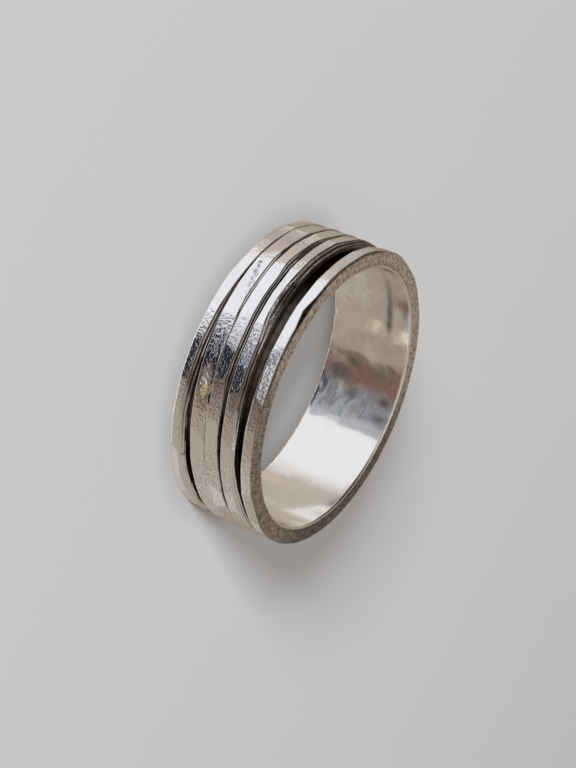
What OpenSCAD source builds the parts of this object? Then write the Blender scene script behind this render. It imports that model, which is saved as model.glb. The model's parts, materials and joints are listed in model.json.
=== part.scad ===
// Spinner ring in silver, lying on its side on z = 0 with the finger hole along Z.
// A sleeve with two soldered rims makes one grooved band, and three loose hammered
// spinners turn in its channel. They lean in their play, as rings that were just spun do.
// Lengths are in millimetres and angles in degrees.

/* [Finger hole] */
// Diameter of the finger hole
bore_d = 18.3; // [15:0.1:22]
// Radius on the two edges of the finger hole
bore_round = 0.12; // [0.06:0.01:0.2]

/* [Band] */
// Width of the band, from one side face to the other
band_w = 6.3; // [5.2:0.1:9]
// Wall of the sleeve under the spinners
sleeve_wall = 0.47; // [0.35:0.01:0.8]
// Width of each rim beside the channel
rim_w = 0.85; // [0.6:0.05:1.1]
// Height of the rims above the sleeve
rim_h = 0.78; // [0.6:0.02:1.2]
// Chamfer on the outer edges of the side faces
rim_chamfer = 0.07; // [0.03:0.01:0.12]

/* [Spinners] */
// Radial thickness of a spinner
spinner_t = 0.76; // [0.5:0.02:1.2]
// Radius on a spinner's two outer edges
spinner_round = 0.2; // [0.08:0.01:0.25]
// Radius on a spinner's two inner edges
spinner_ease = 0.06; // [0.03:0.01:0.1]
// Radial clearance between a spinner and the sleeve
running_gap = 0.1; // [0.08:0.01:0.2]
// Play of the three spinners together, along the finger hole
end_play = 1.5; // [0.6:0.1:1.8]
// Direction of the side on which the spinners stand highest
lean_dir = 35; // [0:5:355]

/* [Hammering] */
// Depth of the lowest ridge between two flats, below the full radius
ridge_drop = 0.06; // [0.02:0.01:0.1]
// Direction of the first ridge on the lower rim
lower_rim_start = 221; // [0:1:359]
// Direction of the first ridge on the upper rim
upper_rim_start = 245; // [0:1:359]

/* [Hidden] */

$fn = 96;
arc_steps = 5;
quarter = 90;
full_turn = 360;

// The spinners from the floor up. Widths are shares of the stack's width. Gaps below a
// spinner on its low side, and the rise from its low side to its middle, are shares of
// the end play. Start is the direction of the first ridge.
WIDTH = 0;
GAP = 1;
RISE = 2;
START = 3;
SPINNERS = [
    [0.36, 0.065, 0.38, 209],
    [0.32, 0.060, 0.37, 231],
    [0.32, 0.200, 0.30, 208],
];

// The hammer's flats round one ring: the length of a flat, as a share of the others, and
// how low the ridge before it lies, as a share of the ridge drop.
LENGTH = 0;
DROP = 1;
BLOWS = [
    [0.75, 0.0], [0.65, 0.5], [0.55, 0.2], [0.95, 0.0], [1.00, 0.7], [1.30, 0.1],
    [0.90, 0.4], [1.45, 0.0], [0.80, 0.9], [1.10, 0.3], [0.70, 0.6], [1.20, 0.0],
    [1.05, 0.5], [0.60, 1.0], [1.35, 0.2], [0.85, 0.0], [1.15, 0.8], [0.95, 0.3],
    [1.40, 0.1], [0.70, 0.6], [1.00, 0.0], [1.25, 0.4], [0.80, 0.9], [1.10, 0.2],
    [0.65, 0.5], [1.30, 0.0], [0.90, 0.7], [1.05, 0.1], [0.75, 0.4], [1.20, 0.0],
];

bore_r = bore_d / 2;
sleeve_r = bore_r + sleeve_wall;
rim_r = sleeve_r + rim_h;
channel_w = band_w - 2 * rim_w;
spinner_r0 = sleeve_r + running_gap;
spinner_r1 = spinner_r0 + spinner_t;
stack_w = channel_w - end_play;
outline_h = 2 * band_w;

function total(list, last) = last < 0 ? 0 : list[last] + total(list, last - 1);
function column(table, name) = [for (row = table) row[name]];
function polar(r, direction) = r * [cos(direction), sin(direction)];

// Where a spinner's width, low side, rise and lean come from
function spinner_w(i) = stack_w * SPINNERS[i][WIDTH];
function spinner_low(i) =
    rim_w + end_play * total(column(SPINNERS, GAP), i)
    + stack_w * total(column(SPINNERS, WIDTH), i - 1);
function spinner_rise(i) = end_play * SPINNERS[i][RISE];
function spinner_mid(i) = spinner_low(i) + spinner_rise(i) + spinner_w(i) / 2;
function spinner_lean(i) = asin(spinner_rise(i) / spinner_r1);

// Points of a rounded corner round its centre, from one direction to the next
function corner(centre, r, from) =
    [for (k = [0:arc_steps]) centre + polar(r, from + quarter * k / arc_steps)];

// Section of a spinner, from its inner to its outer radius, middle at height 0
module spinner_section(w) {
    inner = spinner_r0 + spinner_ease;
    outer = spinner_r1 - spinner_round;
    polygon(concat(
        corner([inner, spinner_ease - w / 2], spinner_ease, 2 * quarter),
        corner([outer, spinner_round - w / 2], spinner_round, 3 * quarter),
        corner([outer, w / 2 - spinner_round], spinner_round, 0),
        corner([inner, w / 2 - spinner_ease], spinner_ease, quarter)
    ));
}

// Section of the band: sleeve, two rims and the channel between them
module band_section() {
    polygon(concat(
        corner([bore_r + bore_round, bore_round], bore_round, 2 * quarter),
        [
            [rim_r - rim_chamfer, 0],
            [rim_r, rim_chamfer],
            [rim_r, rim_w],
            [sleeve_r, rim_w],
            [sleeve_r, band_w - rim_w],
            [rim_r, band_w - rim_w],
            [rim_r, band_w - rim_chamfer],
            [rim_r - rim_chamfer, band_w],
        ],
        corner([bore_r + bore_round, band_w - bore_round], bore_round, quarter)
    ));
}

// Outline of a hammered ring: a straight flat between each ridge and the next
module hammered_outline(r, start) {
    lengths = column(BLOWS, LENGTH);
    round_all = total(lengths, len(lengths) - 1);
    polygon([
        for (k = [0:len(BLOWS) - 1])
        polar(
            r - ridge_drop * BLOWS[k][DROP],
            start + full_turn * total(lengths, k - 1) / round_all
        )
    ]);
}

// One hammered spinner, leaning in its play about its own middle
module spinner(i) {
    translate([0, 0, spinner_mid(i)])
        rotate(lean_dir)
            rotate([0, -spinner_lean(i), 0])
                rotate(-lean_dir)
                    intersection() {
                        rotate_extrude() spinner_section(spinner_w(i));
                        linear_extrude(outline_h, center = true)
                            hammered_outline(spinner_r1, SPINNERS[i][START]);
                    }
}

// Sleeve and rims, soldered into one, with flats on the rims only
module base_band() {
    color([0.80, 0.78, 0.75])
        intersection() {
            rotate_extrude() band_section();
            union() {
                linear_extrude(band_w / 2) hammered_outline(rim_r, lower_rim_start);
                translate([0, 0, band_w / 2])
                    linear_extrude(band_w / 2) hammered_outline(rim_r, upper_rim_start);
            }
        }
}

module spinner_lower() {
    color([0.86, 0.84, 0.80]) spinner(0);
}

module spinner_middle() {
    color([0.84, 0.82, 0.78]) spinner(1);
}

module spinner_upper() {
    color([0.82, 0.80, 0.76]) spinner(2);
}

base_band();
spinner_lower();
spinner_middle();
spinner_upper();
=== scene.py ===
import json
import logging
from dataclasses import dataclass
from enum import Enum, IntEnum
from typing import ClassVar, NamedTuple

import bpy
import numpy as np
from mathutils import Matrix, Vector


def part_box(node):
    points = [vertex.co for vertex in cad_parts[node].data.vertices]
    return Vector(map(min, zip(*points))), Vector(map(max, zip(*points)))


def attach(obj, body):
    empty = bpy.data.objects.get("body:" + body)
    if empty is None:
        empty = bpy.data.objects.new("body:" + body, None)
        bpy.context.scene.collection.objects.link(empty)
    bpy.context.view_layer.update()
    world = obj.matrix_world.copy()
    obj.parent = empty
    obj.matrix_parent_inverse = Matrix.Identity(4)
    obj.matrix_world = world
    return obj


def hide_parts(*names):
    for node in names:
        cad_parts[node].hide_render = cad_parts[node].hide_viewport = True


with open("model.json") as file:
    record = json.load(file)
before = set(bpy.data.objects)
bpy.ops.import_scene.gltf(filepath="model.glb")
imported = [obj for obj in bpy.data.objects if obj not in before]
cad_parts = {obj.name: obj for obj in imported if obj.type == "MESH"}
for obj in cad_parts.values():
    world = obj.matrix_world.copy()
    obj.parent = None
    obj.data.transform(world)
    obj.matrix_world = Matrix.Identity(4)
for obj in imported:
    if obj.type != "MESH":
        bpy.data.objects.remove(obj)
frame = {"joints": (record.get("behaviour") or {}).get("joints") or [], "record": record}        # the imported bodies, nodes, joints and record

Array = np.ndarray
Size = float | Array     # one value, or one for each direction round the ring
Pair = tuple[float, float]   # two values that belong together
MM = 0.001
TURN = 2 * np.pi
AROUND = 900             # points round each ring, one every 0.4 of a degree
HAIR = 0.01              # slack where places are compared, in mm
FADE = 30                # degrees over which facing() fades at either end of its reach
GRAIN_BAND = 0.18        # width of the bell curve that picks a grain's frequencies
GRAIN_MOST = 2.5         # where a grain is cut off, in standard deviations
EDGE_WAVES = (3, 7, 13, 22, 31)      # waves in a turn that a strip's edge wanders by
FOLD_DEPTH = 0.025       # how far a fold is sunk into its wall, in mm
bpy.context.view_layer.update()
LOG = logging.getLogger("spinner_ring")


class Finish(IntEnum):
    """The finishes on the silver, in the order of a mesh's material slots."""

    HAMMERED = 0
    SAWN = 1
    FILED = 2
    POLISHED = 3
    BLACKENED = 4


class Side(Enum):
    """Where a rounded corner lies: which way it points from the axis and along it, and the
    direction that its rounding starts from, in degrees.
    """

    LOW_OUTER = (1, -1, -90)
    HIGH_OUTER = (1, 1, 0)
    HIGH_INNER = (-1, 1, 90)
    LOW_INNER = (-1, -1, 180)


# The hammer's flats round one ring: the length of a flat as a share of the others, how low
# the ridge before it lies as a share of the ridge drop, and the flat's roll as a share of
# the full roll, where a flat with a positive roll faces up. The first two are the CAD's.
BLOWS = np.array([
    (0.75, 0.0, 0.3), (0.65, 0.5, -0.6), (0.55, 0.2, 0.2), (0.95, 0.0, 0.7), (1.00, 0.7, -0.2),
    (1.30, 0.1, 0.1), (0.90, 0.4, -0.5), (1.45, 0.0, 0.4), (0.80, 0.9, -0.8), (1.10, 0.3, 0.2),
    (0.70, 0.6, 0.9), (1.20, 0.0, -0.3), (1.05, 0.5, 0.5), (0.60, 1.0, -0.7), (1.35, 0.2, 0.1),
    (0.85, 0.0, 0.6), (1.15, 0.8, -0.4), (0.95, 0.3, -0.9), (1.40, 0.1, 0.3), (0.70, 0.6, 0.8),
    (1.00, 0.0, -0.5), (1.25, 0.4, 0.2), (0.80, 0.9, -0.2), (1.10, 0.2, 0.7), (0.65, 0.5, -0.6),
    (1.30, 0.0, 0.4), (0.90, 0.7, -0.3), (1.05, 0.1, 0.5), (0.75, 0.4, -0.8), (1.20, 0.0, 0.1),
])


class Dent(NamedTuple):
    """A small mark in a ring: its middle, half its size, its depth and how dark it is.

    The direction is in degrees, its darkness from 0 to 1 and the rest in mm.
    """

    direction: float
    height: float
    length: float
    width: float
    depth: float
    tarnish: float = 0.0


class Edge(NamedTuple):
    """A strip's outer edges at one direction, in degrees and mm.

    An edge is rounded over its own width of the crest and over a depth of the wall below
    it. Its inset is how far it lies inside the strip's full width. The upper one is drawn
    straight by high_flat and stepped into laps by lap, both from 0 to 1.
    """

    direction: float
    low_round: float
    low_deep: float
    high_round: float
    high_deep: float
    low_inset: float = 0.0
    high_inset: float = 0.0
    high_flat: float = 0.7
    lap: float = 0.0


def edges(low_round: float, low_deep: float, *rows: tuple[float, ...]) -> tuple[Edge, ...]:
    """Edges with one lower rounding. A row is a direction and the values from high_round on."""
    return tuple(Edge(row[0], low_round, low_deep, *row[1:]) for row in rows)


def angles() -> Array:
    """Directions of the points round a ring, in radians, from +X towards +Y."""
    return np.arange(AROUND) * TURN / AROUND


def smooth_step(x: Array, low: float, high: float) -> Array:
    """0 below low, 1 above high and a smooth S between them."""
    t = np.clip((x - low) / (high - low), 0, 1)
    return t * t * (3 - 2 * t)


def facing(direction: float, reach: float) -> Array:
    """1 round one direction, and 0 beyond a reach on either side, both in degrees."""
    away = (np.rad2deg(angles()) - direction + 180) % 360 - 180
    return 1 - smooth_step(np.abs(away), reach - FADE, reach)


def drawn_out(rows: tuple[Edge, ...]) -> Edge:
    """A table of edges, each value drawn out evenly for each direction of angles()."""
    table = np.array(sorted(rows))
    here = np.rad2deg(angles())
    return Edge(*(np.interp(here, table[:, 0], column, period=360) for column in table.T))


def ripple(seed: int, waves: tuple[int, ...]) -> Array:
    """A smooth wave round a ring, between about -1 and 1.

    The sum of one cosine for each wave count, each with its own random phase.

    Args:
        seed: seed of the phases.
        waves: how many whole waves each cosine makes in a turn.

    Returns:
        One value for each direction of angles().
    """
    phases = np.random.default_rng(seed).uniform(0, TURN, len(waves))
    total = sum(np.cos(n * angles() + p) for n, p in zip(waves, phases))
    return total / np.sqrt(len(waves))


def grain(points: int, step: Pair, size: float, seed: int) -> Array:
    """Random relief whose bumps are all about one size.

    White noise, with every frequency but those near one wave per size filtered out by a
    bell curve in the frequency plane. It closes on itself in both directions.

    Args:
        points: points across the surface.
        step: distance between points round the ring and across it, in mm.
        size: length of one wave, in mm.
        seed: seed of the noise.

    Returns:
        Heights with a standard deviation of 1, kept within GRAIN_MOST.
    """
    noise = np.fft.fft2(np.random.default_rng(seed).normal(size=(AROUND, points)))
    waves = np.hypot(np.fft.fftfreq(AROUND, step[0])[:, None], np.fft.fftfreq(points, step[1]))
    relief = np.fft.ifft2(noise * np.exp(-((waves * size - 1) ** 2) / GRAIN_BAND)).real
    return np.clip(relief / relief.std(), -GRAIN_MOST, GRAIN_MOST)


@dataclass(frozen=True)
class Hammering:
    """The flats round one hammered ring.

    Attributes:
        radius: radius of the highest ridges, in mm.
        start: direction of the first ridge, in degrees.
        lean: tilt that all flats share, in degrees, up if positive.
        drop: depth of the lowest ridge below the radius, in mm.
        roll: greatest tilt of a flat beyond the lean, in degrees.
        soft: how widely a ridge is rounded, in mm of height.
        work: how far the hammer brought the round surface towards the flats.
    """

    LEAST_COSINE: ClassVar[float] = 0.5      # holds off flats more than 60 degrees away

    radius: float
    start: float
    lean: float
    drop: float = 0.06
    roll: float = 7.0
    soft: float = 0.008
    work: float = 0.6

    def depth(self, height: Array, half_width: float) -> Array:
        """Depth of the hammered surface below the ridges' radius.

        Each flat is a plane through two ridges, turned about its middle line by its roll and
        sunk so that its proud edge stays at the ridges. The surface is the smooth minimum of
        the distances to all planes along each direction.

        Args:
            height: heights of the points over the strip's middle, in mm, by direction.
            half_width: half of the strip's width, in mm.

        Returns:
            Depths in mm, for each direction and each height.
        """
        length, drop, roll = BLOWS.T
        ridge = np.deg2rad(self.start) + TURN * (np.cumsum(length) - length) / length.sum()
        reach = self.radius - self.drop * drop
        points = np.stack([reach * np.cos(ridge), reach * np.sin(ridge)], 1)
        along = np.roll(points, -1, 0) - points
        normal = np.stack([along[:, 1], -along[:, 0]], 1) / np.linalg.norm(along, axis=1)[:, None]
        distance = (normal * points).sum(1)
        slope = np.tan(np.deg2rad(self.lean + self.roll * roll))
        way = np.stack([np.cos(angles()), np.sin(angles())], 1)
        toward = np.maximum(way @ normal.T, self.LEAST_COSINE)
        plane = distance - np.abs(slope) * half_width - height[..., None] * slope
        reached = plane / toward[:, None, :]
        least = reached.min(2)
        spread = np.exp((least[..., None] - reached) / self.soft).sum(2)
        return self.work * (self.radius - least + self.soft * np.log(spread))


@dataclass
class Bend:
    """A corner of a ring's section, and the run of faces from it to the next corner.

    Attributes:
        radius: distance of the sharp corner from the axis, in mm.
        height: height of the sharp corner, in mm.
        run: how many faces the straight run after it has.
        finish: finish of the run.
        side: where a rounded corner lies, or None if it is sharp.
        size: width of the rounding along the axis, in mm.
        deep: depth of the rounding towards the axis, in mm, or None if it is the same.
        flat: how far the rounding is drawn straight, from 0 to 1.
        steps: how many faces the rounding has.
        skin: finish of the rounding.
        dark: how dark the corner's points are: tarnish, and on the upper rim's upper edge a painted
            shadow line.
        lap: how far the rounding is stepped into laps, from 0 to 1.
        laps: how many laps there are.
    """

    TREAD_TARNISH: ClassVar[float] = 0.9     # tarnish in the middle of a lap's tread

    radius: Size
    height: Size
    run: int
    finish: Finish
    side: Side | None = None
    size: Size = 0.0
    deep: Size | None = None
    flat: Size = 0.0
    steps: int = 0
    skin: Finish = Finish.HAMMERED
    dark: Size = 0.0
    lap: Size = 0.0
    laps: int = 2

    def points(self) -> Array:
        """Radii, heights and tarnish of the corner's own points, by direction.

        They lie between a quarter of an ellipse, which touches both of the faces that meet
        there, and the straight line between its ends. A sine taken off both ways steps that
        line into treads, which a raised cosine darkens, and risers, where the hammer lapped
        the metal over.
        """
        whole = np.ones((AROUND, self.steps + 1))
        radius, height = np.reshape(self.radius, (-1, 1)), np.reshape(self.height, (-1, 1))
        dark = np.reshape(self.dark, (-1, 1))
        if self.side is None:
            return np.stack([radius * whole, height * whole, dark * whole])
        outward, upward, start = self.side.value
        size = np.reshape(self.size, (-1, 1))
        deep = size if self.deep is None else np.reshape(self.deep, (-1, 1))
        share = np.linspace(0, 1, self.steps + 1)
        way = np.deg2rad(start + 90 * share)
        path = np.stack([np.cos(way), np.sin(way)])
        chord = path[:, :1] * (1 - share) + path[:, -1:] * share
        lap, phase = np.reshape(self.lap, (-1, 1)), TURN * self.laps * share
        flat = np.maximum(np.reshape(self.flat, (-1, 1)), lap)
        path = path[:, None] + flat * (chord - path)[:, None]
        path = path - lap * np.sin(phase) / (TURN * self.laps)
        dark = np.maximum(dark, self.TREAD_TARNISH * lap * (0.5 + 0.5 * np.cos(phase)))
        return np.stack([(radius + deep * (path[0] - outward)) * whole,
                         (height + size * (path[1] - upward)) * whole, dark * whole])


@dataclass
class Surface:
    """A ring's surface: a grid of directions round it and points along its section.

    Attributes:
        radius: distance of each point from the axis, in mm.
        height: height of each point, in mm.
        tarnish: how dark each point is, from 0 to 1: real tarnish, and painted shade and painted
            light as well.
        finish: finish after each section point, the same or different by direction.
    """

    radius: Array
    height: Array
    tarnish: Array
    finish: Array

    def sink(self, dents: tuple[Dent, ...], where: Array, way: int = -1) -> None:
        """Sinks small marks into one face.

        Each mark takes its depth times a bell curve of the distances along the ring and
        across it, and darkens the metal by its tarnish times the same curve.

        Args:
            dents: the marks.
            where: 1 on the face that is marked, 0 on the others.
            way: -1 where the metal lies inside the surface, 1 where it lies outside.
        """
        for dent in dents:
            away = (angles() - np.deg2rad(dent.direction) + np.pi) % TURN - np.pi
            along = (away * self.radius.mean())[:, None] / dent.length
            bell = where * np.exp(-along ** 2 - ((self.height - dent.height) / dent.width) ** 2)
            self.radius += way * dent.depth * bell
            self.tarnish = np.maximum(self.tarnish, dent.tarnish * bell)

    def folds(self, wall: Array, top: float, seed: int) -> Array:
        """The low folds along a strip's upper wall, where the hammer lapped the metal over.

        The square of a raised cosine of the depth under the crest, with a phase and a height
        that wander slowly round the ring. It starts a little below the crest.

        Args:
            wall: True for the wall's points.
            top: radius of the crest, in mm.
            seed: seed of the wandering.

        Returns:
            From 0 on the open wall to 1 in a fold, for each point.
        """
        every, swing = 0.19, 2.0         # mm from fold to fold, and radians that they wander
        usual, spread = 0.7, 0.5         # a fold's usual height, and how far it strays
        first, whole = 0.02, 0.10        # depths where the folds begin and are whole, in mm
        deep = top - self.radius
        phase = ripple(seed, (2, 5, 9))[:, None]
        tall = usual + spread * ripple(seed + 1, (4, 7, 15))[:, None]
        wave = 0.5 + 0.5 * np.cos(TURN * deep / every + swing * phase)
        return np.clip(tall, 0, 1) * wave ** 2 * wall * smooth_step(deep, first, whole)

    def strike(self, upper: Array, top: float, stretches: tuple[Pair, ...]) -> None:
        """Turns the sawn upper wall to hammered where the hammer met it.

        Each stretch starts and ends a little later the deeper it reaches.

        Args:
            upper: True for the points of the upper side.
            top: radius of the crest, in mm.
            stretches: first and last direction of each stretch, in degrees.
        """
        later, reach = 15, 0.5           # degrees for each mm of depth, and depth in mm
        here = np.rad2deg(angles())[:, None] - later * (top - self.radius)
        met = sum((here > first) & (here < last) for first, last in stretches) > 0
        wall = (self.finish == Finish.SAWN) & upper & (self.radius > top - reach)
        self.finish = np.where(wall & met, Finish.HAMMERED, self.finish)

    def blacken(self, root: float, fold: Array, walls: Array, left: Array,
                where: Size = 1.0) -> None:
        """Darkens a gap: black tarnish at its root, and up its walls where left is 1 a lighter
        brown, painted light for where light reaches into the gap.

        A smooth step of the height over the root gives the black, which is lower and weaker where
        the walls are painted lighter brown. The brown is darker in the folds.

        Args:
            root: radius of the gap's root, in mm.
            fold: the walls' folds.
            walls: True for the points of the walls that can be brown.
            left: 1 where they are painted lighter brown for the light that reaches them, 0 where
                they are black.
            where: 1 in the gap, 0 elsewhere.
        """
        # The lighter brown where left is 1 is painted light; the black at the root is tarnish.
        full, gone, lower = 0.1, 0.42, 0.20      # heights over the root, in mm
        weaker, brown, folded = 0.55, 0.36, 0.5  # share of the black lost, and tarnishes
        deep = 1 - smooth_step(self.radius, root + full - full * left, root + gone - lower * left)
        oxide_and_painted_light = np.maximum(deep * (1 - weaker * left), (brown + folded * fold) * left * walls)
        self.tarnish = np.maximum(self.tarnish, where * oxide_and_painted_light)


def outline(bends: list[Bend]) -> Surface:
    """Draws a closed section through its corners, with the metal on the left.

    A corner's darkening, tarnish and the painted shadow line alike, stays on the corner's own
    points.

    Args:
        bends: corners in order, the outer face passed upwards.

    Returns:
        The surface.
    """
    corners = [bend.points() for bend in bends]
    parts, finishes = [], []
    for bend, here, after in zip(bends, corners, corners[1:] + corners[:1]):
        share = np.arange(1, bend.run) / bend.run
        run = here[..., -1:] + (after[..., :1] - here[..., -1:]) * share
        run[2] = 0
        parts += [here, run]
        finishes += [bend.skin] * bend.steps + [bend.finish] * bend.run
    return Surface(*np.concatenate(parts, 2), np.array(finishes))


def ring_object(name: str, surface: Surface,
                place: Matrix = Matrix.Identity(4)) -> bpy.types.Object:
    """Makes a closed ring from its surface.

    A point's place is (radius cos(direction), radius sin(direction), height), and both ways
    round the grid close on themselves. The map "ring_mm" holds the distance round the ring
    and along the section, in mm.

    Args:
        name: name of the piece.
        surface: its surface.
        place: turn and shift of the ring, in mm.

    Returns:
        The new object, with its place in its mesh.
    """
    radius, height = surface.radius, surface.height
    across, way = radius.shape[1], angles()[:, None]
    points = np.stack([radius * np.cos(way), radius * np.sin(way), height], -1).reshape(-1, 3)
    turned = points @ np.array(place.to_3x3()).T + np.array(place.translation)
    i, j = np.meshgrid(np.arange(AROUND), np.arange(across), indexing="ij")
    i1, j1 = (i + 1) % AROUND, (j + 1) % across
    quads = np.stack([i * across + j, i1 * across + j, i1 * across + j1, i * across + j1], -1)
    mesh = bpy.data.meshes.new(name)
    mesh.vertices.add(len(turned))
    mesh.vertices.foreach_set("co", (turned * MM).ravel())
    mesh.loops.add(quads.size)
    mesh.polygons.add(quads.size // 4)
    mesh.polygons.foreach_set("loop_start", np.arange(0, quads.size, 4))
    mesh.polygons.foreach_set("vertices", quads.ravel())
    skins = np.broadcast_to(surface.finish, (AROUND, across)).ravel()
    mesh.polygons.foreach_set("material_index", skins)
    mesh.polygons.foreach_set("use_smooth", np.ones(quads.size // 4, bool))
    hop = np.hypot(np.roll(radius, -1, 1) - radius, np.roll(height, -1, 1) - height).mean(0)
    along = np.concatenate([[0], np.cumsum(hop)])
    u = np.stack([i, i + 1, i + 1, i], -1) * TURN * radius.max() / AROUND
    v = np.stack([along[j], along[j], along[j + 1], along[j + 1]], -1)
    uv = mesh.uv_layers.new(name="ring_mm")
    uv.data.foreach_set("uv", np.stack([u, v], -1).ravel())
    # The darkness map: real tarnish, together with painted shade and painted light.
    dark = mesh.attributes.new("tarnish", "FLOAT", "POINT")
    dark.data.foreach_set("value", np.clip(surface.tarnish, 0, 1).ravel())
    mesh.update(calc_edges=True)
    mesh.validate()
    LOG.info("%s: %d points round, %d across", name, AROUND, across)
    made = bpy.data.objects.new(name, mesh)
    bpy.context.scene.collection.objects.link(made)
    return made


def linear(code: str) -> tuple[float, float, float, float]:
    """The linear colour of an sRGB hex value such as "C8B4A0", by the standard's curve."""
    parts = np.array([int(code[k:k + 2], 16) for k in (0, 2, 4)]) / 255
    low = parts / 12.92
    high = ((parts + 0.055) / 1.055) ** 2.4
    return (*np.where(parts <= 0.04045, low, high), 1.0)


def add_node(tree: bpy.types.NodeTree, kind: str, inputs: dict | None = None,
             **settings: object) -> bpy.types.Node:
    """Adds a node with its settings, its fixed inputs and its links.

    Args:
        tree: tree that the node goes into.
        kind: the node's type without "ShaderNode".
        inputs: for each input's name or number, a value, or the output that feeds it, or
            the node whose first output does.
        settings: properties of the node.

    Returns:
        The new node.
    """
    made = tree.nodes.new("ShaderNode" + kind)
    for name, value in settings.items():
        setattr(made, name, value)
    for name, value in (inputs or {}).items():
        if isinstance(value, bpy.types.Node):
            value = value.outputs[0]
        if isinstance(value, bpy.types.NodeSocket):
            tree.links.new(value, made.inputs[name])
        else:
            made.inputs[name].default_value = value
    return made


@dataclass(frozen=True)
class SilverFinish:
    """Sterling silver (925) with one of its finishes.

    Attributes:
        name: name of the material.
        clean: hex colour of the bare metal.
        film: hex colour of the thin tarnish that dulls it in patches.
        film_share: greatest share of the film.
        roughness: least and greatest roughness.
        patch_mm: size of the patches of film, in mm.
        grit_mm: size of the finest relief that shows, in mm.
        grit_depth_mm: depth of that relief, in mm.
        stroke_mm: size of the tool's strokes round the ring and across it, in mm.
        stroke_depth_mm: depth of the strokes, in mm.
        sulphide_and_shade: hex colour where the attribute "tarnish" is 1: the sulphide of real
            tarnish, which also paints the painted shade in that map.
    """

    # Sum of the patches' and strokes' noise where the film starts, and where it is full
    FILM_NOISE: ClassVar[Pair] = (0.8, 1.25)
    # The strokes' noise where the roughness is least, and where it is greatest
    STROKE_NOISE: ClassVar[Pair] = (0.3, 0.7)
    SULPHIDE_DULLS: ClassVar[float] = 0.3    # roughness that full tarnish adds

    name: str
    clean: str
    film: str
    film_share: float
    roughness: Pair
    patch_mm: float
    grit_mm: float
    grit_depth_mm: float
    stroke_mm: Pair
    stroke_depth_mm: float
    # Dark brown for real sulphide tarnish, used for the painted shade too.
    sulphide_and_shade: str = "24140F"

    def material(self) -> bpy.types.Material:
        """Builds the material from noise on Object coordinates and strokes on the ring's map."""
        made = bpy.data.materials.new(self.name)
        made.use_nodes = True
        tree = made.node_tree
        tree.nodes.clear()
        clouds = {"Detail": 3.0, "Roughness": 0.6}
        place = add_node(tree, "TexCoord").outputs["Object"]
        flat = add_node(tree, "UVMap", uv_map="ring_mm")
        dark = add_node(tree, "Attribute", attribute_name="tarnish").outputs["Fac"]
        patch = add_node(tree, "TexNoise", {
            "Vector": place, "Scale": 1 / (self.patch_mm * MM), **clouds})
        grit = add_node(tree, "TexNoise", {
            "Vector": place, "Scale": 1 / (self.grit_mm * MM), **clouds, "Detail": 1.0})
        squeezed = add_node(tree, "Mapping", {
            "Vector": flat, "Scale": (1 / self.stroke_mm[0], 1 / self.stroke_mm[1], 1.0)})
        stroke = add_node(tree, "TexNoise", {"Vector": squeezed, "Scale": 1.0, **clouds})
        both = add_node(tree, "Math", {0: patch, 1: stroke}, operation="ADD")
        share = add_node(tree, "MapRange", {
            "Value": both, "From Min": self.FILM_NOISE[0], "From Max": self.FILM_NOISE[1],
            "To Min": 0.0, "To Max": self.film_share})
        colour = linear(self.clean)
        # The darkness map turns the colour towards the sulphide brown, for real tarnish and painted
        # shade alike.
        for factor, coat in ((share, self.film), (dark, self.sulphide_and_shade)):
            colour = add_node(tree, "Mix", {"Factor": factor, "A": colour, "B": linear(coat)},
                              data_type="RGBA").outputs["Result"]
        rough = add_node(tree, "MapRange", {
            "Value": stroke, "From Min": self.STROKE_NOISE[0], "From Max": self.STROKE_NOISE[1],
            "To Min": self.roughness[0], "To Max": self.roughness[1]})
        duller = add_node(tree, "Math", {0: dark, 1: self.SULPHIDE_DULLS, 2: rough},
                          operation="MULTIPLY_ADD")
        cut = add_node(tree, "Bump", {
            "Height": stroke, "Distance": self.stroke_depth_mm * MM, "Strength": 1.0})
        peel = add_node(tree, "Bump", {
            "Height": grit, "Distance": self.grit_depth_mm * MM, "Strength": 1.0, "Normal": cut})
        metal = add_node(tree, "BsdfPrincipled", {
            "Base Color": colour, "Metallic": 1.0, "Roughness": duller, "Normal": peel})
        add_node(tree, "OutputMaterial", {"Surface": metal})
        return made


# Hammered and then tumbled: bright, with a fine orange peel and short strokes across
HAMMERED = SilverFinish("hammered_sterling_silver", "F7F6F5", "E3DEDA", 0.4, (0.06, 0.13),
                        1.6, 0.20, 0.018, (0.09, 0.35), 0.005)
# The strips' sawn sides: lines along them, and a brown film that the wheel never reached
SAWN = SilverFinish("sawn_sterling_silver", "EEE2D6", "7E685A", 0.8, (0.34, 0.54),
                    0.7, 0.12, 0.008, (2.5, 0.13), 0.014)
# Filed flat and left dull: a sandy grain, short file marks and grey-brown tarnish
FILED = SilverFinish("filed_sterling_silver", "FAF2E9", "7E6B5B", 0.9, (0.34, 0.50),
                     0.26, 0.12, 0.036, (0.12, 0.40), 0.014)
# Polished on a felt bob: a soft mirror with long fine lines round the finger hole
POLISHED = SilverFinish("polished_sterling_silver", "F8F5F0", "E9E3DB", 0.15, (0.09, 0.17),
                        1.4, 0.45, 0.003, (4.0, 0.14), 0.0005)
# Never reached by the polishing wheel: a dark brown sulphide film
BLACKENED = SilverFinish("blackened_sterling_silver", "5A463B", "32231C", 0.8, (0.40, 0.60),
                         0.6, 0.12, 0.006, (1.0, 0.15), 0.002)


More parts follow.
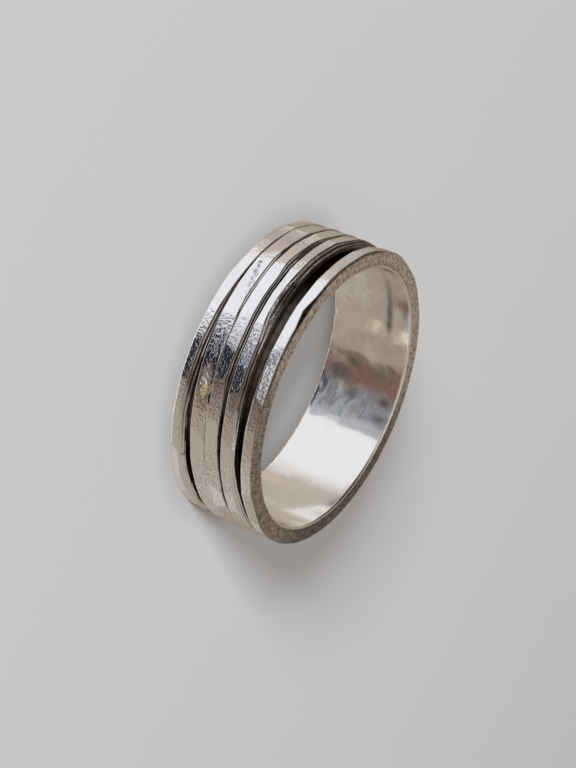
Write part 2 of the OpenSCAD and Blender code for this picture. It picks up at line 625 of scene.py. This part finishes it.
@dataclass(frozen=True)
class BandSizes:
    """Sizes of the band that the spinners fit, in mm, as in the CAD solids."""

    bore_r: float = frame["record"]["mounts"][0]["dims"]["r_mm"]
    width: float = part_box("base_band")[1].z / MM
    sleeve_wall: float = 0.47
    rim_w: float = 0.85
    rim_h: float = 0.78
    bore_round: float = 0.12
    end_play: float = 1.5
    running_gap: float = 0.1

    @property
    def sleeve_r(self) -> float:
        """Radius of the channel's floor."""
        return self.bore_r + self.sleeve_wall

    @property
    def rim_r(self) -> float:
        """Radius of the rims."""
        return self.sleeve_r + self.rim_h

    @property
    def stack_w(self) -> float:
        """Width of the three spinners together."""
        return self.width - 2 * self.rim_w - self.end_play


class SilverRing:
    """What the band and the spinners have in common."""

    WORKED = 0.1                 # thickness outside that the hammer worked fully, in mm
    PEEL_MM = (0.24, 0.0010)     # wave and height of the orange peel

    def dress(self, piece: bpy.types.Object, finishes: list[bpy.types.Material]) -> None:
        """Gives a piece its finishes, one material slot for each in the order of Finish."""
        for finish in finishes:
            piece.data.materials.append(finish)
        LOG.info("%s is dressed", piece.name)


@dataclass
class Spinner(SilverRing):
    """One narrow hammered ring, loose in the channel and leaning in its play.

    Attributes:
        name: name of the visible piece.
        body: the body that it rides on.
        node: the CAD node that it stands for.
        share: its width as a share of the stack's.
        start: direction of its first ridge, in degrees.
        lean: tilt of all its flats, in degrees.
        seed: seed of its relief and its edges' waves.
        edges: its outer edges round the ring.
        dents: its pits and nicks, with heights over its middle.
        struck: stretches where the hammer also met the upper edge, in degrees.
        thick: radial thickness, in mm.
        ease: radius of the inner edges, in mm.
        crest: how many faces the crest has across it.
        spared: thickness at the inside that the hammer left alone, in mm.
        wander: how far the outer edges wander inwards, in mm.
        brown: middle and reach of the stretch whose walls are painted lighter brown for light, in
            degrees.
        laps: how many laps its upper edge has.
    """

    name: str
    body: str
    node: str
    share: float
    start: float
    lean: float
    seed: int
    edges: tuple[Edge, ...]
    dents: tuple[Dent, ...]
    struck: tuple[Pair, ...]
    thick: float = 0.76
    ease: float = 0.06
    crest: int = 22
    spared: float = 0.15
    wander: float = 0.012
    brown: Pair = (258, 60)
    laps: int = 2

    def place(self) -> Matrix:
        """The turn onto the joint's leaning axis and the shift to its middle, in mm."""
        joint = {j["child"]: j for j in frame["joints"]}[self.body]
        axis = Vector(joint["axis"]).normalized()
        tilt = Vector((0, 0, 1)).rotation_difference(axis).to_matrix().to_4x4()
        return Matrix.Translation(Vector(joint["pos_m"]) / MM) @ tilt

    def section(self, inner: float, half: float) -> Surface:
        """Draws the strip's section: its inner face, crest and two walls.

        Args:
            inner: radius of the inner face, in mm.
            half: half of the strip's width, in mm.

        Returns:
            The surface before the hammer's work.
        """
        edge, outer = drawn_out(self.edges), inner + self.thick
        low = edge.low_inset + self.wander * np.abs(ripple(self.seed + 1, EDGE_WAVES)) - half
        high = half - edge.high_inset - self.wander * np.abs(ripple(self.seed + 2, EDGE_WAVES))
        skin, wall, back = Finish.HAMMERED, Finish.SAWN, Finish.BLACKENED
        return outline([
            Bend(inner, low, 5, wall, Side.LOW_INNER, self.ease, None, 0, 3, back),
            Bend(outer, low, self.crest, skin, Side.LOW_OUTER, edge.low_round, edge.low_deep,
                 0, 6),
            Bend(outer, high, 6, wall, Side.HIGH_OUTER, edge.high_round, edge.high_deep,
                 edge.high_flat, 20, wall, lap=edge.lap, laps=self.laps),
            Bend(inner, high, 4, back, Side.HIGH_INNER, self.ease, None, 0, 3, back)])

    def build(self, band: BandSizes) -> bpy.types.Object:
        """Shapes the hammered ring, leans it and lets it ride on its own body."""
        inner, half = band.sleeve_r + band.running_gap, self.share * band.stack_w / 2
        outer = inner + self.thick
        made = self.section(inner, half)
        worked = smooth_step(made.radius, inner + self.spared, outer - self.WORKED)
        depth = Hammering(outer, self.start, self.lean).depth(made.height, half)
        step = (TURN * outer / AROUND, 2 * half / self.crest)
        peel = grain(made.radius.shape[1], step, self.PEEL_MM[0], self.seed)
        walls = (made.finish == Finish.SAWN) & (made.height > 0)
        unlapped = (1 - drawn_out(self.edges).lap)[:, None]
        fold = made.folds(walls, outer, self.seed + 3) * unlapped
        made.strike(made.height > 0, outer, self.struck)
        # Painted light: the walls are lighter brown in the stretch that light reaches, black
        # elsewhere.
        made.blacken(inner - band.running_gap, fold, walls, facing(*self.brown)[:, None])
        made.height -= FOLD_DEPTH * fold
        made.radius -= worked * (depth + self.PEEL_MM[1] * (GRAIN_MOST + peel))
        made.sink(self.dents, worked)
        piece = ring_object(self.name, made, self.place())
        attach(piece, self.body)
        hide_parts(self.node)
        return piece


@dataclass
class GroovedBand(SilverRing):
    """The sleeve with its two soldered rims, hammered outside, filed at the sides and
    polished in the finger hole.

    Attributes:
        sizes: sizes of the band.
        low_start: direction of the first ridge on the lower rim, in degrees.
        high_start: the same on the upper rim.
        low_lean: tilt of the lower rim's flats, in degrees.
        high_lean: the same for the upper rim.
        seed: seed of its relief.
        low_edges: the lower rim's edges, the upper one facing the spinners.
        high_edges: the upper rim's edges, the lower one facing the spinners.
        lip: width of the burnished lip round the finger hole's top, in mm.
        lip_line: depth and half width of the line round that lip, in mm.
        sill: width of the single faces at both ends of the finger hole, in mm.
        bore_waves_mm: wave and height of the finger hole's relief, in mm.
        dents: marks outside.
        bore_dents: marks in the finger hole.
        struck: stretches where it also met the lower rim's upper edge, in degrees.
        brown_wall: middle and reach of the lower rim's stretch painted lighter brown for light, in
            degrees.
        brown_floor: the same for the rest of the channel.
    """

    sizes: BandSizes
    low_start: float = 221
    high_start: float = 245
    low_lean: float = -1.5
    high_lean: float = 1.0
    seed: int = 40
    low_edges: tuple[Edge, ...] = edges(
        0.07, 0.07, (200, 0.03, 0.06, 0, -0.04), (243, 0.04, 0.10, 0, -0.04),
        (254, 0.16, 0.50, 0, -0.04, 0.7, 1.0), (280, 0.24, 0.58, 0, -0.02, 0.7, 1.0),
        (292, 0.32, 0.44, 0, -0.03, 0.6, 0.4), (300, 0.34, 0.42, 0, -0.03, 0.6),
        (330, 0.36, 0.44, 0, -0.03, 0.6), (345, 0.10, 0.20))
    high_edges: tuple[Edge, ...] = edges(
        0.05, 0.08, (0, 0.14, 0.14), (130, 0.14, 0.14), (180, 0.06, 0.06), (239, 0.07, 0.06),
        (246, 0.26, 0.12), (253, 0.07, 0.06), (330, 0.06, 0.06))
    lip: float = 0.16
    lip_line: float = 0.02
    sill: float = 0.05
    bore_waves_mm: tuple[Pair, ...] = ((2.8, 0.006), (0.9, 0.0014))
    dents: tuple[Dent, ...] = (
        Dent(294, 5.95, 2.0, 0.6, 0.001, 0.14), Dent(275, 5.85, 1.6, 0.4, 0.001, 0.22),
        Dent(314.5, 0.80, 0.10, 0.12, 0.02, 0.8), Dent(303, 0.45, 0.06, 0.06, 0.01, 0.6))
    bore_dents: tuple[Dent, ...] = (
        Dent(132, 4.54, 0.8, 0.27, 0.0, 0.86), Dent(138, 4.58, 1.3, 0.27, 0.0, 0.82),
        Dent(145, 4.68, 1.4, 0.25, 0.0, 0.72), Dent(152, 4.79, 1.4, 0.23, 0.0, 0.58),
        Dent(159, 4.87, 1.4, 0.21, 0.0, 0.44), Dent(166, 4.92, 1.2, 0.19, 0.0, 0.24),
        Dent(127, 6.28, 0.9, 0.5, 0.006), Dent(88, 5.5, 0.35, 0.6, 0.001, 0.65),
        Dent(95.5, 5.4, 0.45, 0.6, 0.001, 0.72), Dent(97, 4.5, 0.5, 0.4, 0.001, 0.35),
        Dent(101, 1.6, 0.8, 0.9, 0.001, 0.30), Dent(108.5, 2.2, 0.4, 0.5, 0.001, 0.50),
        Dent(107, 4.4, 0.6, 1.0, 0.001, 0.25), Dent(88, 3.6, 0.3, 0.4, 0.001, 0.35),
        Dent(94.5, 2.6, 0.35, 0.7, 0.001, 0.40))
    struck: tuple[Pair, ...] = ((248, 268), (285, 352))
    brown_wall: Pair = (258, 60)
    brown_floor: Pair = (264, 36)

    def face_painted_shade(self) -> Array:
        """Painted shade on the upper side, most between +X and +Y: the dark shade that the face
        mirrors there, painted into its colour.
        """
        return (0.40 * facing(10, 110) + 0.25 * facing(45, 55))[:, None]

    def edge_painted_shade(self) -> Array:
        """Painted shade along the upper rim's upper edge, most at its notch: a dark shadow line
        between the rim and the upper side.
        """
        return np.maximum(0.7 * facing(240, 65), 0.95 * facing(246, 34))

    def lip_tarnish(self) -> Array:
        """Tarnish in the line round the burnished lip."""
        return 0.7 * facing(150, 70)

    def hole_waves(self) -> Array:
        """How much of its relief the finger hole has, most between +Y and -X."""
        return (0.3 + 0.7 * facing(104, 38) + 0.2 * facing(150, 45))[:, None]

    def section(self) -> Surface:
        """Draws the band's section: its lower rim, channel, upper rim and finger hole."""
        s, line = self.sizes, self.lip_line
        skin, wall, face, bore = Finish.HAMMERED, Finish.SAWN, Finish.FILED, Finish.POLISHED
        lip_r = s.bore_r + s.bore_round + self.lip
        low, high = drawn_out(self.low_edges), drawn_out(self.high_edges)
        return outline([
            Bend(s.bore_r, 0, 2, face, Side.LOW_INNER, s.bore_round, None, 0, 3, face),
            Bend(s.rim_r, 0, 8, skin, Side.LOW_OUTER, low.low_round, low.low_deep, 0, 2),
            Bend(s.rim_r, s.rim_w - low.high_inset, 3, wall, Side.HIGH_OUTER, low.high_round,
                 low.high_deep, low.high_flat, 18, wall, lap=low.lap),
            Bend(s.sleeve_r, s.rim_w, 5, wall),
            Bend(s.sleeve_r, s.width - s.rim_w, 3, wall),
            Bend(s.rim_r, s.width - s.rim_w, 8, skin, Side.LOW_OUTER, high.low_round,
                 high.low_deep, 0, 3),
            # The upper rim's upper edge carries a painted shadow line.
            Bend(s.rim_r, s.width, 4, face, Side.HIGH_OUTER, high.high_round, high.high_deep,
                 0, 3, face, self.edge_painted_shade()),
            Bend(lip_r + line, s.width, 1, face),
            Bend(lip_r, s.width - line, 1, face, dark=self.lip_tarnish()),
            Bend(lip_r - line, s.width, 2, face),
            Bend(s.bore_r, s.width, 1, bore, Side.HIGH_INNER, s.bore_round, None, 0, 4, bore),
            Bend(s.bore_r, s.width - s.bore_round - self.sill, 36, bore),
            Bend(s.bore_r, s.bore_round + self.sill, 1, bore)])

    def hammer(self, made: Surface, worked: Array) -> None:
        """Hammers flats and an orange peel into both rims.

        Args:
            made: the band's surface.
            worked: 1 on the hammered faces, 0 on the others.
        """
        s, row_gap = self.sizes, 0.08    # the distance between rows of points, in mm
        half = s.rim_w / 2
        softened = 1 - 0.75 * facing(60, 90)     # the upper rim's flats between +X and +Y
        for start, lean, middle, keep in (
                (self.low_start, self.low_lean, half, np.ones(AROUND)),
                (self.high_start, self.high_lean, s.width - half, softened)):
            over = made.height - middle
            near = worked * (np.abs(over) < half + HAIR) * keep[:, None]
            made.radius -= near * Hammering(s.rim_r, start, lean).depth(over, half)
        step = (TURN * s.rim_r / AROUND, row_gap)
        peel = grain(made.radius.shape[1], step, self.PEEL_MM[0], self.seed)
        made.radius -= worked * self.PEEL_MM[1] * (GRAIN_MOST + peel)

    def polish(self, made: Surface) -> None:
        """Gives the finger hole its dark patches and its soft waves."""
        s, whole, none, row_gap = self.sizes, 0.02, 0.1, 0.17    # depths and a distance in mm
        inside = 1 - smooth_step(made.radius, s.bore_r + whole, s.bore_r + none)
        made.sink(self.bore_dents, inside, 1)
        step = (TURN * s.rim_r / AROUND, row_gap)
        for number, (wave, tall) in enumerate(self.bore_waves_mm, 1):
            relief = grain(made.radius.shape[1], step, wave, self.seed + number)
            made.radius += inside * tall * self.hole_waves() * relief

    def build(self) -> bpy.types.Object:
        """Shapes the band: flats on the rims and soft waves in the finger hole."""
        s, clean_w = self.sizes, 0.6     # the outer width of a rim that stays clean, in mm
        foot = 0.1                       # height at its foot that isn't hammered, in mm
        made, middle = self.section(), s.width / 2
        worked = smooth_step(made.radius, s.sleeve_r + foot, s.rim_r - self.WORKED)
        low_wall = (made.finish == Finish.SAWN) & (made.height < middle)
        between = np.abs(made.height - middle) < middle - clean_w
        channel = between & (made.radius > s.sleeve_r - HAIR)
        unlapped = (1 - drawn_out(self.low_edges).lap)[:, None]
        fold = made.folds(low_wall, s.rim_r, self.seed + 5) * unlapped
        # Painted light: the channel is lighter brown in the stretch that light reaches, black
        # elsewhere.
        brown = np.where(low_wall, facing(*self.brown_wall)[:, None],
                         facing(*self.brown_floor)[:, None])
        made.blacken(s.sleeve_r, fold, low_wall, brown, channel)
        # The upper side's painted shade, kept in the same darkness map as the tarnish.
        upper_side = (made.finish == Finish.FILED) & (made.height > middle)
        made.tarnish = np.maximum(made.tarnish, self.face_painted_shade() * upper_side)
        made.strike(low_wall, s.rim_r, self.struck)
        made.height -= FOLD_DEPTH * fold
        self.hammer(made, worked)
        self.polish(made)
        made.sink(self.dents, worked)
        piece = ring_object("grooved_band", made)
        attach(piece, "band")
        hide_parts("base_band")
        return piece


class Card(NamedTuple):
    """A soft card that the silver mirrors: its colour, where it starts and ends, how soft
    each end is, in degrees, and its lowest and highest sine of height with their softness.
    """

    name: str
    colour: str
    span: Pair
    soft: Pair
    height: Pair
    height_soft: float


class Lamp(NamedTuple):
    """A square soft lamp: its name, place and side in metres, and power in watts."""

    name: str
    place: tuple[float, float, float]
    side: float
    watts: float


class Studio:
    """Camera, floor, lamps and surroundings. None of them is part of the object."""

    FOCAL_PX = 2072.0        # focal length that was fitted to the photograph, in pixels
    LONG_SIDE_PX = 768.0
    SENSOR_MM = 36.0
    CLIP_START = 0.005       # nearest distance that the camera sees, in metres
    FLOOR_HALF = 0.8         # half the floor's side, in metres
    FLOOR = "9C9C9D"         # the floor's colour, and its roughness
    MATT = 0.9
    BACKDROP = "C9C8C7"      # what the camera sees past the floor
    ROOM = "AEA49A"          # what the silver mirrors where there is no card
    LEAST_SOFT = 1e-4        # softness of a card's hardest edge
    EYE_MM = (0.0, -125.2007, 63.6009)   # the camera's place, and then its axes
    RIGHT = (-0.3773, 0.4079, 0.8314)
    DOWN = (0.9261, 0.1636, 0.3400)
    AHEAD = (0.0027, 0.8982, -0.4395)

    LAMPS = [Lamp("key", (-0.29, -0.95, 0.31), 0.25, 31.0),
             Lamp("overhead", (0.0, 0.05, 0.6), 0.3, 2.0)]

    # The cards round the ring, each over the ones before it. Heights are sines.
    CARDS = [Card(*row) for row in (
        ("wall_above", "A2968B", (0, 360), (0, 0), (0.04, 1), 0.08),
        ("ceiling_glow", "BDB5AD", (205, 300), (20, 20), (0.04, 1), 0.08),
        ("light_wall", "ABA197", (298, 408), (10, 8), (0.10, 1), 0.08),
        ("dark_door", "2A2220", (142, 234), (12, 10), (0.06, 0.92), 0.05),
        ("skylight", "DEDCD8", (0, 360), (0, 0), (0.90, 2), 0.05),
        ("table_near", "C6C2BC", (2, 66), (10, 10), (-1, -0.43), 0.02),
        ("plaster", "988A7E", (318, 424), (8, 12), (-0.43, 0), 0.035),
        ("tile", "C4BEB6", (352, 406), (4, 5), (-0.37, -0.18), 0.02),
        ("shade", "988C80", (64, 126), (12, 12), (-1, 0), 0.05),
        ("glow", "BCB4AD", (128, 190), (10, 20), (-0.435, 0), 0.01),
        ("low_shade", "A69C92", (100, 137), (12, 2), (-1, -0.435), 0.01),
        ("tan_wall", "AFA59D", (137, 172), (2, 6), (-1, -0.435), 0.01),
        ("cream_lamp", "EAE2D5", (137.5, 146), (1.5, 2), (-0.53, -0.44), 0.01),
        ("blush", "CDBEB5", (166, 190), (6, 6), (-1, -0.435), 0.01),
        ("window", "F2F4FA", (192, 250), (12, 1), (-0.435, 0), 0.01),
        ("low_window", "F2F4FA", (183, 256), (4, 1), (-1, -0.435), 0.01),
        ("sky", "A8ACB8", (250, 286), (1, 8), (-0.46, 0), 0.03),
        ("blue_sky", "D2D9E6", (256, 278), (4, 5), (-0.46, -0.424), 0.006),
        ("branches", "4C4E56", (260, 286), (3, 4), (-0.413, -0.36), 0.006),
        ("pane", "F2F4F8", (250, 288), (1, 8), (-0.34, 0), 0.02),
        ("curtain", "20232C", (256, 300), (1, 5), (-1, -0.448), 0.010),
        ("dark_chair", "1C1F28", (298, 309), (2, 6), (-1, -0.468), 0.008),
        ("brown_wall", "6A564C", (287, 314), (5, 5), (-0.43, 0), 0.02),
        ("brown_step", "968A7F", (302, 310), (4, 8), (-1, -0.43), 0.02),
        ("red_cloth", "7C5650", (286, 305), (4, 4), (-0.42, -0.37), 0.012),
        ("yellow_cloth", "C4BE90", (288, 307), (3, 3), (-0.225, -0.06), 0.012),
        ("small_lamp", "DCCFB8", (336, 350), (4, 3), (-0.395, -0.30), 0.006),
        ("floor_glow", "F2F0EC", (0, 360), (0, 0), (-2, -0.74), 0.04),
    )]

    def camera(self) -> None:
        """Sets the camera at the photograph's place, angle and turn."""
        data = bpy.data.cameras.new("camera")
        data.sensor_width = self.SENSOR_MM
        data.lens = self.FOCAL_PX / self.LONG_SIDE_PX * self.SENSOR_MM
        data.clip_start = self.CLIP_START
        axes = np.array([self.RIGHT, [-a for a in self.DOWN], [-a for a in self.AHEAD]]).T
        turned = Matrix([list(row) for row in axes]).to_4x4()
        made = bpy.data.objects.new("camera", data)
        made.matrix_world = Matrix.Translation(Vector(self.EYE_MM) * MM) @ turned
        bpy.context.scene.collection.objects.link(made)
        bpy.context.scene.camera = made

    def floor(self) -> None:
        """Lays a pale matt floor, which the polished metal doesn't mirror."""
        half = self.FLOOR_HALF
        mesh = bpy.data.meshes.new("floor")
        corners = [(-half, -half, 0), (half, -half, 0), (half, half, 0), (-half, half, 0)]
        mesh.from_pydata(corners, [], [(0, 1, 2, 3)])
        made = bpy.data.objects.new("floor", mesh)
        bpy.context.scene.collection.objects.link(made)
        paint = bpy.data.materials.new("pale_floor")
        paint.use_nodes = True
        shader = paint.node_tree.nodes["Principled BSDF"]
        shader.inputs["Base Color"].default_value = linear(self.FLOOR)
        shader.inputs["Roughness"].default_value = self.MATT
        mesh.materials.append(paint)
        made.visible_glossy = False

    def hang(self, lamp: Lamp) -> None:
        """Hangs a lamp so that it faces the ring. The metal doesn't mirror it."""
        data = bpy.data.lights.new(lamp.name, "AREA")
        data.size = lamp.side
        data.energy = lamp.watts
        made = bpy.data.objects.new(lamp.name, data)
        made.location = lamp.place
        made.rotation_mode = "QUATERNION"
        made.rotation_quaternion = (-Vector(lamp.place)).to_track_quat("-Z", "Y")
        made.visible_glossy = False
        bpy.context.scene.collection.objects.link(made)

    def surroundings(self) -> None:
        """Soft surroundings: a colour for each direction that a ray leaves in.

        A card's mask is the product of four smooth steps, two of the compass direction and
        two of the sine of the height, and each card is mixed over the ones before it.
        """
        world = bpy.data.worlds.new("soft_studio")
        bpy.context.scene.world = world
        world.use_nodes = True
        tree = world.node_tree
        tree.nodes.clear()
        way = add_node(tree, "TexCoord").outputs["Generated"]
        xyz = add_node(tree, "SeparateXYZ", {0: way})
        turn = add_node(tree, "Math", {0: xyz.outputs[1], 1: xyz.outputs[0]},
                        operation="ARCTAN2")
        seen = add_node(tree, "RGB").outputs[0]
        seen.default_value = linear(self.ROOM)
        for card in self.CARDS:
            first, wide = card.span[0] - card.soft[0], card.span[1] - card.span[0] + card.soft[0]
            past = add_node(tree, "Math", {0: turn, 1: 1 / TURN, 2: 1 - first / 360},
                            operation="MULTIPLY_ADD")
            share = add_node(tree, "Math", {0: past}, operation="FRACT")
            mask = None
            for value, edge, soft, rising in (
                    (share, card.soft[0] / 360, card.soft[0] / 360, True),
                    (share, wide / 360, card.soft[1] / 360, False),
                    (xyz.outputs[2], card.height[0], card.height_soft, True),
                    (xyz.outputs[2], card.height[1], card.height_soft, False)):
                side = add_node(tree, "MapRange", {
                    "Value": value, "From Min": edge - soft,
                    "From Max": edge + soft + self.LEAST_SOFT,
                    "To Min": float(not rising), "To Max": float(rising)},
                    interpolation_type="SMOOTHSTEP")
                mask = side if mask is None else add_node(
                    tree, "Math", {0: mask, 1: side}, operation="MULTIPLY")
            seen = add_node(tree, "Mix", {
                "Factor": mask, "A": seen, "B": linear(card.colour)},
                data_type="RGBA").outputs["Result"]
        eye = add_node(tree, "LightPath").outputs["Is Camera Ray"]
        shown = add_node(tree, "Mix", {"Factor": eye, "A": seen, "B": linear(self.BACKDROP)},
                         data_type="RGBA")
        light = add_node(tree, "Background", {"Color": shown.outputs["Result"], "Strength": 1.0})
        add_node(tree, "OutputWorld", {"Surface": light})

    def build(self) -> None:
        """Makes everything round the ring and keeps the photograph's plain contrast."""
        self.camera()
        self.floor()
        self.surroundings()
        for lamp in self.LAMPS:
            self.hang(lamp)
        bpy.context.scene.view_settings.view_transform = "Standard"


def chisel_marks() -> list[Dent]:
    """A row of black pits that fades, with finer pits scattered beyond it.

    Each pit's place goes up evenly with its number, and its place and size sway by sines of
    the number.
    """
    row = [Dent(direction=233.3 + 1.2 * k + 0.3 * np.sin(2.4 * k),
                height=0.04 * k - 0.19 + 0.035 * np.sin(4.1 * k),
                length=0.085 + 0.025 * np.cos(3 * k), width=0.11 + 0.04 * np.sin(5 * k),
                depth=0.02, tarnish=1 - 0.07 * k) for k in range(10)]
    scatter = [Dent(direction=238.5 + 0.5 * k, height=0.1 + 0.012 * k + 0.12 * np.sin(7.3 * k),
                    length=0.06, width=0.06, depth=0.010, tarnish=0.65 - 0.02 * k)
               for k in range(28)]
    return row + scatter


SPINNERS = [
    Spinner(
        "lower_spinner_ring", "lower_spinner", "spinner_lower",
        share=0.36, start=209, lean=1.0, seed=11, laps=1, struck=((222, 264), (287, 352)),
        edges=(
            edges(0.03, 0.03, (200, 0.04, 0.08, -0.02))
            + edges(0.04, 0.04, (222, 0.04, 0.08, -0.02), (230, 0.14, 0.10, -0.02, -0.02, 0.7, 1.0),
                    (250, 0.12, 0.10, -0.02, -0.02, 0.7, 1.0), (258, 0.03, 0.05, 0, -0.02))
            + edges(0.05, 0.05, (284.5, 0.02, 0.03, 0, -0.02), (287, 0.04, 0.08, 0, 0.16),
                    (291, 0.02, 0.02, 0, -0.025), (330, 0.02, 0.02, 0, -0.025))),
        dents=(*chisel_marks(), Dent(294.4, 0.09, 0.07, 0.05, 0.02, 1.0),
               Dent(283, 0.42, 1.30, 0.55, 0.115))),
    Spinner(
        "middle_spinner_ring", "middle_spinner", "spinner_middle",
        share=0.32, start=231, lean=1.0, seed=21, struck=((222, 264), (287, 352)),
        edges=(
            edges(0.04, 0.04, (200, 0.06, 0.12, 0, -0.05), (218, 0.20, 0.25, 0, -0.05),
                  (228, 0.30, 0.30, 0, -0.05, 0.7, 1.0), (237, 0.12, 0.25, -0.02, -0.05, 0.7, 1.0),
                  (262, 0.16, 0.55, -0.025, -0.03, 0.7, 1.0),
                  (278, 0.22, 0.55, -0.025, -0.02, 0.7, 1.0))
            + edges(0.02, 0.02, (288, 0.08, 0.25, -0.025), (330, 0.04, 0.10, -0.025))),
        dents=(Dent(280, -0.20, 0.8, 0.25, 0.0, 0.30),)),
    Spinner(
        "upper_spinner_ring", "upper_spinner", "spinner_upper",
        share=0.32, start=208, lean=3.0, seed=31, brown=(262, 50), struck=((232, 260), (287, 352)),
        edges=edges(
            0.05, 0.05, (195, 0.20, 0.30, -0.03, 0, 0.7, 0.8),
            (208, 0.34, 0.40, -0.03, 0, 0.4, 1.0), (230, 0.38, 0.42, -0.03, 0, 0.1, 0.9),
            (238, 0.50, 0.46, -0.03, 0, 0.1, 0.2),
            (251, 0.52, 0.48, -0.03, 0, 0.1, 0.2), (262, 0.22, 0.50, 0, 0, 0.7, 1.0),
            (280, 0.20, 0.50, 0, 0, 0.7, 1.0), (290, 0.26, 0.34, 0, 0, 0.6, 0.3),
            (298, 0.26, 0.34, 0, 0, 0.6), (330, 0.26, 0.34, 0, 0, 0.6), (345, 0.10, 0.20)),
        dents=(Dent(284.5, 0.0, 0.85, 0.30, 0.0, 0.45),)),
]


def main() -> None:
    """Builds the studio, the band and its spinners, and reports each piece."""
    logging.basicConfig(level=logging.INFO, format="%(name)s: %(message)s")
    Studio().build()
    finishes = [f.material() for f in (HAMMERED, SAWN, FILED, POLISHED, BLACKENED)]
    band = GroovedBand(BandSizes())
    band.dress(band.build(), finishes)
    for spinner in SPINNERS:
        spinner.dress(spinner.build(band.sizes), finishes)


if __name__ == "__main__":
    main()
